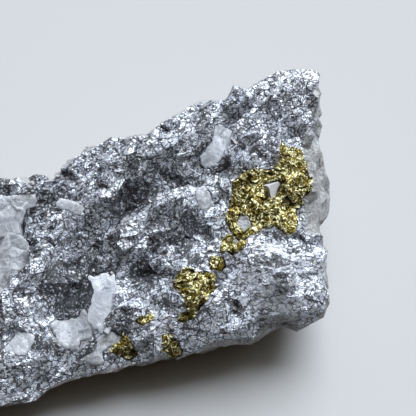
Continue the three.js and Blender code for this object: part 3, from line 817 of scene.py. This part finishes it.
def calcite_material(colours):
    """Milky, translucent cleavage blocks, with a painted glow where they stand free in place of the
    light that comes through them.
    """
    shader = Shader(bpy.data.materials.new("calcite"))
    place = shader.ragged_position(1.2 * MM, 0.5 * MM)
    veils = shader.noise(1.3 * MM, detail=5.0, roughness=0.65)
    steps = shader.cell_tone(place, 1.4 * MM)
    cleavage = shader.lines(shader.striations(place, 4.0 * MM, spacing=0.9 * MM), width=0.16)
    tone = 0.7 * shader.attribute("white") + 0.5 * veils + 0.25 * steps + 0.2 * cleavage - 0.35
    base = shader.blend(tone.clamped(), opaque(colours.calcite, 0.42), opaque(colours.calcite))
    black = opaque((0.0, 0.0, 0.0))
    return shader.finish(
        {
            "Base Color": base,
            "Roughness": (0.25 + 0.35 * veils).clamped(),
            "IOR": 1.6,
            "Transmission Weight": 0.2,
            "Subsurface Weight": 1.0,
            "Subsurface Radius": (1.0, 1.0, 1.0),
            "Subsurface Scale": 2.5 * MM,
            # Painted glow: emission on the dark sides where the block stands free.
            "Emission Color": shader.blend(shader.attribute("lit"), black, base),
            "Emission Strength": 0.42,
            "Normal": shader.bump(veils + 0.4 * steps + 0.3 * cleavage, 0.15 * MM),
        }
    )


def table_material(colours):
    """A plain matt table."""
    shader = Shader(bpy.data.materials.new("table_top"))
    cloud = shader.patches(300 * MM, 0.2, 0.8, detail=1.0)
    shade = shader.blend(cloud, opaque(colours.table), opaque(colours.table, 0.99))
    return shader.finish({"Base Color": shade, "Roughness": 0.85})


# ---- Pieces ----


def dress(piece, material, mineral, *nodes):
    """Gives a piece its material and its body, and hides the nodes that it stands for."""
    piece.data.materials.clear()
    piece.data.materials.append(material)
    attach(piece, "root")
    if nodes:
        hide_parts(*nodes)
    return piece


def mineral_nodes(mineral):
    """Names of the CAD nodes of one mineral."""
    return sorted(node for node in NODES if node.startswith(mineral))


def plate_tones(points):
    """Tone of the broken face's dark and pale spots, painted shade included, level over each small
    plate.
    """
    ragged = wandering(points, 1.2 * MM, 0.5 * MM, seed=61)
    coarse, _ = nearest_cell(ragged, 1.5 * MM, seed=41)
    fine, _ = nearest_cell(ragged, 0.8 * MM, seed=47)
    return 0.6 * face_tone(points - coarse) + 0.4 * face_tone(points - fine)


def mass_relief(points):
    """How far the mass's broken surface stands out, and how pale its facets are."""
    ragged = wandering(points, 1.6 * MM, 0.4 * MM, seed=3)
    plates, plate_tone = facets(ragged, 4.2 * MM, tilt=0.14, step=0.3 * MM, seed=11)
    blocks, block_tone = facets(ragged, 2.2 * MM, tilt=0.15, step=0.12 * MM, seed=23)
    chips, chip_tone = facets(ragged, 1.1 * MM, tilt=0.1, step=0.03 * MM, seed=37)
    turn = np.array([[0.9, 0.43, 0.0], [-0.43, 0.9, 0.0], [0.0, 0.0, 1.0]])
    leaf_stretch = np.array([3.2, 1.0, 1.0])
    along = (ragged @ turn.T) / leaf_stretch
    leaves, leaf_tone = facets(along, 1.5 * MM, tilt=0.18, step=0.22 * MM, seed=71)
    corner = corner_block(points)
    height = (1 - 0.6 * corner) * (plates + blocks) + 0.8 * corner * leaves + chips
    tone = (1 - 0.6 * corner) * (0.7 * plate_tone + 0.5 * block_tone) + 0.5 * corner * leaf_tone
    return height, tone + 0.3 * chip_tone + 0.5 * corner


class SPECIMEN_OT_mass(bpy.types.Operator):
    """Builds the broken surface of the skutterudite mass"""

    bl_idname = "specimen.mass"
    bl_label = "Skutterudite mass"

    def execute(self, context):
        settings = context.scene.specimen_surface

        def longest(points):
            near_face = height_over_face(points) > -FACE_BAND
            edge = np.where(near_face, settings.face_edge, settings.side_edge)
            return np.where(points[:, 2] < FOOT_HEIGHT, settings.foot_edge, edge)

        piece = fine_object(MASS_NODE, "skutterudite_surface", longest)
        mesh = piece.data
        points = read_points(mesh)
        normals = read_points(mesh, "normal")
        facing = large_normals(mesh, points, rounds=60) @ FACE_NORMAL
        facing += 0.15 * soft_noise(points, 3 * MM, seed=5)
        bare = soft_noise(points, 2.6 * MM, seed=19) + 0.6 * soft_noise(points, 0.9 * MM, seed=29)
        side = (1 - smoothstep(facing, 0.35, 0.7)) * (1 - 0.7 * smoothstep(bare, 0.35, 0.65))
        side = np.maximum(side, worn_rim(points))
        height, tone = mass_relief(points)
        fade = settings.relief * smoothstep(points[:, 2], 0.2 * MM, 2.5 * MM) * (1 - 0.5 * side)
        points = points + normals * (height * fade)[:, None]
        points[:, 2] = np.maximum(points[:, 2], 0)
        normals = write_points(mesh, points)
        # Points in hollows are painted darker: painted shade.
        hollow = 0.2 * hollowness(mesh, points, normals, rounds=4, depth=0.25 * MM)
        hollow += 0.25 * hollowness(mesh, points, normals, rounds=50, depth=1.5 * MM)
        pale = 0.76 + 0.2 * tone + 1.45 * plate_tones(points) - hollow
        write_attribute(mesh, "pale", np.clip(pale, 0, 1.2))
        write_attribute(mesh, "side", side)
        write_attribute(mesh, "whole", 0.6 * corner_block(points))
        # Share of painted shade, full near the table and gone 12 mm up.
        write_attribute(mesh, "stained", 1 - smoothstep(points[:, 2], 3 * MM, 12 * MM))
        above_foot = smoothstep(points[:, 2], 2 * MM, 4 * MM)
        write_attribute(mesh, "open_face", (1 - side) * above_foot)
        thinned(piece, settings.triangles)
        piece.data.shade_flat()
        material = skutterudite_material(context.scene.specimen_colours)
        dress(piece, material, "skutterudite", MASS_NODE)
        return {"FINISHED"}


def crust_tree():
    """Geometry nodes that scatter thin chips over a surface."""
    tree = bpy.data.node_groups.new("crust", "GeometryNodeTree")
    face = tree.interface
    face.new_socket("Surface", in_out="INPUT", socket_type="NodeSocketGeometry")
    face.new_socket("Weight", in_out="INPUT", socket_type="NodeSocketString")
    for label in ("Density", "Smallest", "Largest", "Flatness", "Tilt", "Own tone"):
        face.new_socket(label, in_out="INPUT", socket_type="NodeSocketFloat")
    face.new_socket("Seed", in_out="INPUT", socket_type="NodeSocketInt")
    face.new_socket("Material", in_out="INPUT", socket_type="NodeSocketMaterial")
    face.new_socket("Crust", in_out="OUTPUT", socket_type="NodeSocketGeometry")

    def add(kind, values, **settings):
        made = tree.nodes.new(kind)
        for key, value in settings.items():
            setattr(made, key, value)
        for key, value in values.items():
            if isinstance(value, bpy.types.NodeSocket):
                tree.links.new(value, made.inputs[key])
            else:
                made.inputs[key].default_value = value
        return made.outputs

    def maths(operation, first, second):
        return add("ShaderNodeMath", {0: first, 1: second}, operation=operation)[0]

    def stored(name):
        return add("GeometryNodeInputNamedAttribute", {"Name": name}, data_type="FLOAT")[0]

    def vector(x, y, z):
        return add("ShaderNodeCombineXYZ", {0: x, 1: y, 2: z})[0]

    def vary(low, high, seed):
        values = {2: low, 3: high, "Seed": seed}
        return add("FunctionNodeRandomValue", values, data_type="FLOAT")[1]

    def vary_vector(low, high, seed):
        values = {0: low, 1: high, "Seed": seed}
        return add("FunctionNodeRandomValue", values, data_type="FLOAT_VECTOR")[0]

    given = add("NodeGroupInput", {})
    density = maths("MULTIPLY", stored(given["Weight"]), given["Density"])
    values = {"Mesh": given["Surface"], "Density": density, "Seed": given["Seed"]}
    scattered = add("GeometryNodeDistributePointsOnFaces", values, distribute_method="RANDOM")

    chips = tree.nodes.new("GeometryNodeGeometryToInstance")
    cube = add("GeometryNodeMeshCube", {"Size": (0.8, 0.8, 1.0)})["Mesh"]
    tree.links.new(cube, chips.inputs[0])
    for sides, top in TAPERED_CHIPS:
        values = {"Vertices": sides, "Radius Top": top, "Radius Bottom": 0.55, "Depth": 1.0}
        cone = add("GeometryNodeMeshCone", values)["Mesh"]
        values = {"Geometry": cone, "Translation": (0.0, 0.0, -0.5)}
        tree.links.new(add("GeometryNodeTransform", values)[0], chips.inputs[0])

    most = given["Tilt"]
    least = maths("MULTIPLY", most, -1.0)
    half_turn = 3.1416
    way = vary_vector(vector(least, least, -half_turn), vector(most, most, half_turn), seed=1)
    values = {"Rotation": scattered["Rotation"], "Rotate By": way}
    turn = add("FunctionNodeRotateRotation", values, rotation_space="LOCAL")[0]
    stretch = vary_vector((0.7, 0.6, 0.7), (1.4, 1.1, 1.3), seed=2)
    values = {0: stretch, 1: vector(1.0, 1.0, given["Flatness"])}
    shape = add("ShaderNodeVectorMath", values, operation="MULTIPLY")[0]
    values = {0: shape, "Scale": vary(given["Smallest"], given["Largest"], seed=3)}
    scale = add("ShaderNodeVectorMath", values, operation="SCALE")[0]
    values = {"Points": scattered["Points"], "Instance": chips.outputs[0], "Pick Instance": True}
    values.update({"Rotation": turn, "Scale": scale})
    placed = add("GeometryNodeInstanceOnPoints", values)[0]

    own = given["Own tone"]
    kept = maths("MULTIPLY", stored("pale"), maths("SUBTRACT", 1.0, own))
    tone = maths("ADD", kept, maths("MULTIPLY", own, vary(0.0, 1.3, seed=4)))
    settings = {"data_type": "FLOAT", "domain": "INSTANCE"}
    values = {"Geometry": placed, "Name": "pale", "Value": tone}
    toned = add("GeometryNodeStoreNamedAttribute", values, **settings)[0]
    real = add("GeometryNodeRealizeInstances", {0: toned})[0]
    values = {"Geometry": real, "Material": given["Material"]}
    add("NodeGroupOutput", {"Crust": add("GeometryNodeSetMaterial", values)[0]})
    return tree


def write_tones(mesh, tones, whole):
    """Stores what the mass's material reads on a loose crystal or chip."""
    write_attribute(mesh, "pale", tones)
    write_attribute(mesh, "side", np.zeros(len(tones)))
    write_attribute(mesh, "whole", np.full(len(tones), whole))


def crust(base, name, tree, values):
    """A new object: the chips that a tree scatters over another object's surface."""
    host = new_object(name + "_host", base.data)
    nodes = host.modifiers.new("Crust", "NODES")
    nodes.node_group = tree
    for item in tree.interface.items_tree:
        if item.name in values:
            nodes[item.identifier] = values[item.name]
    mesh = evaluated_mesh(host)
    bpy.data.objects.remove(host)
    mesh.name = name
    pale = np.empty(len(mesh.vertices), np.float32)
    mesh.attributes["pale"].data.foreach_get("value", pale)
    for layer in list(mesh.attributes.keys()):
        kept = mesh.attributes[layer].is_required or mesh.attributes[layer].is_internal
        if not kept:
            mesh.attributes.remove(mesh.attributes[layer])
    mesh.shade_flat()
    write_tones(mesh, np.clip(pale, 0, 1), whole=0.0)
    points = read_points(mesh)
    points[:, 2] = np.maximum(points[:, 2], 0)
    write_points(mesh, points)
    return new_object(name, mesh)


class SPECIMEN_OT_grains(bpy.types.Operator):
    """Scatters thin chips over the broken face of the mass"""

    bl_idname = "specimen.grains"
    bl_label = "Skutterudite grains"

    def execute(self, context):
        grains = context.scene.specimen_grains
        base = bpy.data.objects["skutterudite_surface"]
        material = bpy.data.materials["skutterudite"]
        values = {
            "Weight": "open_face",
            "Material": material,
            "Density": grains.chip_density / MM**2,
            "Smallest": 0.5 * grains.chip_size,
            "Largest": 1.5 * grains.chip_size,
            "Flatness": 0.22,
            "Tilt": 0.25,
            "Own tone": 0.1,
            "Seed": 3,
        }
        piece = crust(base, "skutterudite_chips", crust_tree(), values)
        dress(piece, material, "skutterudite")
        return {"FINISHED"}


def add_shard(mesh, row, number_of_shard):
    """Adds one crystal, a low prism with four uneven corners, to a mesh under construction."""
    x, y, width, depth, height, turn, _ = row
    middle = Vector((x, y, FACE_LEVEL / MM + FACE_SLOPE * y)) * MM
    frame_of_face = Vector(FACE_NORMAL).to_track_quat("Z", "Y").to_matrix().to_4x4()
    place = Matrix.Translation(middle) @ frame_of_face @ Matrix.Rotation(np.radians(turn), 4, "Z")
    rings = []
    for level, share in ((-SHARD_ROOT, 1.15), (height, 1.0)):
        ring = []
        for corner in range(SHARD_CORNERS):
            jitter = cell_number(np.array([[number_of_shard, corner, 0]]), channel=151)[0]
            angle = 2 * np.pi * (corner + 0.4 * jitter + 0.4) / SHARD_CORNERS
            reach = share * (1.0 + 0.35 * jitter) / 2
            out = Vector((np.cos(angle) * width * reach, np.sin(angle) * depth * reach, level))
            ring.append(mesh.verts.new(place @ (out * MM)))
        rings.append(ring)
    low, high = rings
    mesh.faces.new(high)
    mesh.faces.new(low[::-1])
    for corner in range(SHARD_CORNERS):
        after = (corner + 1) % SHARD_CORNERS
        mesh.faces.new((low[corner], low[after], high[after], high[corner]))


class SPECIMEN_OT_crystals(bpy.types.Operator):
    """Builds the single bright crystals of the mass"""

    bl_idname = "specimen.crystals"
    bl_label = "Skutterudite crystals"

    def execute(self, context):
        material = bpy.data.materials["skutterudite"]
        piece, tones = shards("skutterudite_large_crystals", LARGE_CRYSTALS)
        finish_crystals(piece, tones, material)
        node = "skutterudite_crystal"
        piece = fine_object(node, node + "_facets", lambda middles: 0.5 * MM)
        normals = read_points(piece.data, "normal")
        # Facets that face the front are painted paler: painted light.
        tones = 0.8 + 0.4 * smoothstep(-normals[:, 1], 0.1, 0.6)
        finish_crystals(piece, tones, material, node)
        return {"FINISHED"}


def shards(name, rows):
    """A new object made of one crystal for each row, and the tone of each of its points."""
    build = bmesh.new()
    for index, row in enumerate(rows):
        add_shard(build, row, index)
    mesh = bpy.data.meshes.new(name)
    build.to_mesh(mesh)
    build.free()
    return new_object(name, mesh), np.repeat([row[-1] for row in rows], 2 * SHARD_CORNERS)


def finish_crystals(piece, tones, material, *nodes):
    """Gives crystals of the mass their tones and their material."""
    write_tones(piece.data, tones, whole=0.6)
    dress(piece, material, "skutterudite", *nodes)


def metal_patch(node, longest):
    """A patch of crinkled metal that spreads a little over the rim of its pocket."""
    piece = fine_object(node, node + "_metal", longest)
    mesh = piece.data
    points = read_points(mesh)
    normals = read_points(mesh, "normal")
    ragged = wandering(points, 0.9 * MM, 0.5 * MM, seed=81)
    folds, fold_tone = facets(ragged, 1.8 * MM, tilt=0.22, step=0.22 * MM, seed=91)
    creases, crease_tone = facets(ragged, 0.8 * MM, tilt=0.22, step=0.08 * MM, seed=97)
    sideways = 1 - np.abs(normals @ FACE_NORMAL)
    spread = 0.7 * MM * sideways * (0.3 + soft_noise(points, 1.1 * MM, seed=7))
    points = points + normals * (folds + creases + spread)[:, None]
    normals = write_points(mesh, points)
    # Hollows of the foil are painted darker: painted shade.
    hollow = hollowness(mesh, points, normals, rounds=4, depth=0.2 * MM)
    back = smoothstep(points[:, 1], -3 * MM, 3 * MM)
    area_tone = soft_noise(points, 3.5 * MM, seed=55) + 0.4 * back - 0.3
    pale = 0.5 + 0.6 * fold_tone + 0.4 * crease_tone - 0.6 * hollow + 0.6 * area_tone
    write_attribute(mesh, "pale", np.clip(pale, 0, 1))
    return piece


class SPECIMEN_OT_chalcopyrite(bpy.types.Operator):
    """Builds the brassy patches"""

    bl_idname = "specimen.chalcopyrite"
    bl_label = "Chalcopyrite"

    def execute(self, context):
        edge = context.scene.specimen_surface.metal_edge
        material = chalcopyrite_material(context.scene.specimen_colours)
        for node in mineral_nodes("chalcopyrite"):
            dress(metal_patch(node, lambda middles: edge), material, "chalcopyrite", node)
        return {"FINISHED"}


def calcite_crystal(node, longest):
    """A softened block with cleavage steps, with a painted glow on the sides that the room leaves
    dark.
    """
    piece = fine_object(node, node + "_crystal", longest)
    mesh = piece.data
    rounds, white = CALCITE_LOOKS[node]
    points = relaxed(mesh, read_points(mesh), rounds)
    normals = write_points(mesh, points)
    ragged = wandering(points, 1.5 * MM, 0.4 * MM, seed=141)
    blocks, block_tone = facets(ragged, 3.0 * MM, tilt=0.16, step=0.1 * MM, seed=131)
    steps, step_tone = facets(ragged, 1.3 * MM, tilt=0.12, step=0.05 * MM, seed=137)
    swell = 0.1 * MM
    write_points(mesh, points + normals * (swell + blocks + steps)[:, None])
    # Where the painted glow goes: sides that face away from the room's bright part, standing clear
    # of the face.
    shaded = 1 - smoothstep(normals @ np.array(ROOM_BRIGHT_WAY), 0.1, 0.75)
    standing = smoothstep(height_over_face(points), -3 * MM, -0.5 * MM)
    write_attribute(mesh, "lit", shaded * standing)
    write_attribute(mesh, "white", np.clip(white + 0.5 * block_tone + 0.3 * step_tone, 0, 1))
    return piece


class SPECIMEN_OT_calcite(bpy.types.Operator):
    """Builds the milky calcite"""

    bl_idname = "specimen.calcite"
    bl_label = "Calcite"

    def execute(self, context):
        edge = context.scene.specimen_surface.calcite_edge
        material = calcite_material(context.scene.specimen_colours)
        for node in mineral_nodes("calcite"):
            dress(calcite_crystal(node, lambda middles: edge), material, "calcite", node)
        piece, whiteness = shards("calcite_small_blocks", SMALL_CALCITES)
        write_attribute(piece.data, "white", whiteness)
        # An even, weak painted glow on the small blocks.
        write_attribute(piece.data, "lit", np.full(len(whiteness), 0.3))
        dress(piece, material, "calcite")
        return {"FINISHED"}


class SPECIMEN_OT_stage(bpy.types.Operator):
    """Sets the table, the light and the camera"""

    bl_idname = "specimen.stage"
    bl_label = "Stage"

    def execute(self, context):
        stage = context.scene.specimen_stage
        table = bmesh.new()
        bmesh.ops.create_grid(table, x_segments=1, y_segments=1, size=TABLE_HALF_WIDTH)
        mesh = bpy.data.meshes.new("table_top")
        table.to_mesh(mesh)
        table.free()
        mesh.materials.append(table_material(context.scene.specimen_colours))
        new_object("table_top", mesh)

        low, high = CAD_BOX
        aim = Vector((AIM[0] * (high.x - low.x), AIM[1] * (high.y - low.y), AIM[2] * high.z))
        back = Vector((0.0, -np.cos(stage.elevation), np.sin(stage.elevation)))
        camera = bpy.data.cameras.new("camera")
        camera.lens = stage.lens
        camera.clip_start = 0.01
        context.scene.camera = aimed("camera", camera, aim + stage.distance * back, back)

        sun = bpy.data.lights.new("key", "SUN")
        sun.energy = stage.key_strength
        sun.angle = np.radians(KEY_SPREAD)
        sun.color = KEY_COLOUR
        aimed("key", sun, aim, Vector(KEY_WAY))
        room_world(context.scene, stage.room_strength)
        context.scene.view_settings.view_transform = "Standard"
        return {"FINISHED"}


def aimed(name, data, place, back):
    """A camera or light at a place, with its back to a direction."""
    piece = bpy.data.objects.new(name, data)
    piece.location = place
    piece.rotation_mode = "QUATERNION"
    piece.rotation_quaternion = back.to_track_quat("Z", "Y")
    bpy.context.scene.collection.objects.link(piece)
    return piece


def room_world(scene, strength):
    """A room that is bright overhead and behind, and dark in front."""
    scene.world = bpy.data.worlds.new("room")
    shader = Shader(scene.world)
    direction = shader.node("ShaderNodeTexCoord", {}, "Generated")
    turned = shader.facing(direction, ROOM_BRIGHT_WAY)
    shade = shader.node("ShaderNodeValToRGB", {"Fac": turned}, stops=ROOM_STOPS)
    light = shader.node("ShaderNodeBackground", {"Color": shade, "Strength": strength})
    shader.node("ShaderNodeOutputWorld", {"Surface": light})


# ---- The add-on ----

OPERATORS = (
    SPECIMEN_OT_mass,
    SPECIMEN_OT_grains,
    SPECIMEN_OT_crystals,
    SPECIMEN_OT_chalcopyrite,
    SPECIMEN_OT_calcite,
    SPECIMEN_OT_stage,
)
SETTINGS = {
    "specimen_surface": SurfaceSettings,
    "specimen_grains": GrainSettings,
    "specimen_colours": ColourSettings,
    "specimen_stage": StageSettings,
}


class SPECIMEN_PT_panel(bpy.types.Panel):
    """Lists the specimen's settings and the steps that build it"""

    bl_idname = "SPECIMEN_PT_panel"
    bl_label = "Specimen"
    bl_space_type = "VIEW_3D"
    bl_region_type = "UI"
    bl_category = "Specimen"

    def draw(self, context):
        for name, group in SETTINGS.items():
            box = self.layout.box()
            for key in group.__annotations__:
                box.prop(getattr(context.scene, name), key)
        for operator in OPERATORS:
            self.layout.operator(operator.bl_idname)


def register():
    for part in (*SETTINGS.values(), *OPERATORS, SPECIMEN_PT_panel):
        bpy.utils.register_class(part)
    for name, group in SETTINGS.items():
        setattr(bpy.types.Scene, name, bpy.props.PointerProperty(type=group))


def unregister():
    for name in SETTINGS:
        delattr(bpy.types.Scene, name)
    for part in reversed((*SETTINGS.values(), *OPERATORS, SPECIMEN_PT_panel)):
        bpy.utils.unregister_class(part)


def main():
    register()
    for operator in OPERATORS:
        group, name = operator.bl_idname.split(".")
        getattr(getattr(bpy.ops, group), name)()


if __name__ == "__main__":
    main()
